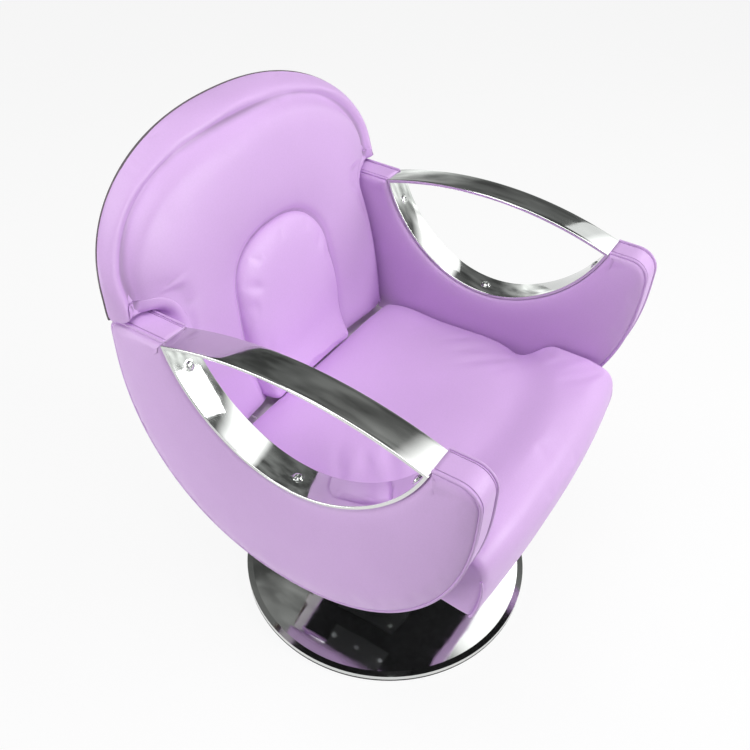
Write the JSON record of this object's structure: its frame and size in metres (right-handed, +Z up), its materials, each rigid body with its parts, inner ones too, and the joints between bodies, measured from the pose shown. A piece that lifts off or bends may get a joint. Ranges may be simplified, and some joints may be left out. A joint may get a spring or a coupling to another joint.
{
  "type": "kids salon chair",
  "caption": "Upholstered kids salon chair with half-moon arms, chrome arm loops, a lumbar pillow, a swivel, a foot-pumped lift and a round chrome base.",
  "frame": {"origin": "where the swivel axis meets the floor, on the underside of the base", "axes": "+Z up, the chair faces -Y, +X is the sitter's left"},
  "size_m": [0.582, 0.6142, 0.7956],
  "materials": {
    "chrome": "polished",
    "steel": "zinc plated",
    "lilac_leather": "satin imitation leather",
    "black_rubber": "matt",
    "plywood": "raw",
    "black_cloth": "black dust cover stapled over the plywood",
    "shell_plastic": "fine grain",
    "bronze": "turned",
    "cast_plate": "painted black",
    "grey_paint": "light grey paint",
    "black_paint": "black satin paint"
  },
  "bodies": {
    "base": {"base_cover_disc": "chrome", "base_weight_plate": "cast_plate", "floor_ring": "black_rubber", "base_collar": "chrome", "pump_flange": "black_paint", "pump_flange_bolts": "steel", "pump_cylinder": "black_paint", "gland_bush": "bronze", "gland_nut": "steel", "pump_cover": "chrome", "valve_block": "black_paint", "pedal_pin": "steel"},
    "ram": {"ram_tube": "chrome", "ram_cover": "chrome", "thrust_bearing": "steel"},
    "seat": {"back_board": "plywood", "back_pad": "lilac_leather", "back_uprights": "grey_paint", "bracket_screws": "steel", "left_arm_bracket": "black_paint", "left_arm_core": "plywood", "left_arm_edge_band": "lilac_leather", "left_arm_inner_pad": "lilac_leather", "left_arm_loop": "chrome", "left_arm_outer_pad": "lilac_leather", "left_arm_screws": "steel", "left_loop_screws": "chrome", "lumbar_pillow": "lilac_leather", "mount_bolts": "steel", "rear_cross_bar": "grey_paint", "rear_shell": "shell_plastic", "right_arm_bracket": "black_paint", "right_arm_core": "plywood", "right_arm_edge_band": "lilac_leather", "right_arm_inner_pad": "lilac_leather", "right_arm_loop": "chrome", "right_arm_outer_pad": "lilac_leather", "right_arm_screws": "steel", "right_loop_screws": "chrome", "seat_board": "black_cloth", "seat_cushion": "lilac_leather", "seat_front_roll": "lilac_leather", "seat_hub": "black_paint", "seat_mount_plate": "black_paint", "upright_screws": "steel"},
    "pedal": {"pedal_lever": "black_paint", "pedal_pad": "black_rubber"},
    "plunger": {"pump_plunger": "steel"}
  },
  "joints": [
    {"name": "lift", "type": "slide", "parent": "base", "child": "ram", "axis": [0, 0, 1], "range_m": [0, 0.11]},
    {"name": "swivel", "type": "hinge", "parent": "ram", "child": "seat", "pos_m": [0, 0, 0.262], "axis": [0, 0, 1], "continuous": true},
    {"name": "pedal_pivot", "type": "hinge", "parent": "base", "child": "pedal", "pos_m": [0, 0.06, 0.104], "axis": [-1, 0, 0], "range_deg": [0, 15], "stiffness_Nm_per_rad": 8, "springref_deg": -14.32},
    {"name": "plunger_slide", "type": "slide", "parent": "base", "child": "plunger", "axis": [0, 0, -1], "range_m": [0, 0.008]}
  ],
  "couplings": [
    {"joint": "plunger_slide", "follows": "pedal_pivot", "m_per_rad": 0.0245}
  ]
}
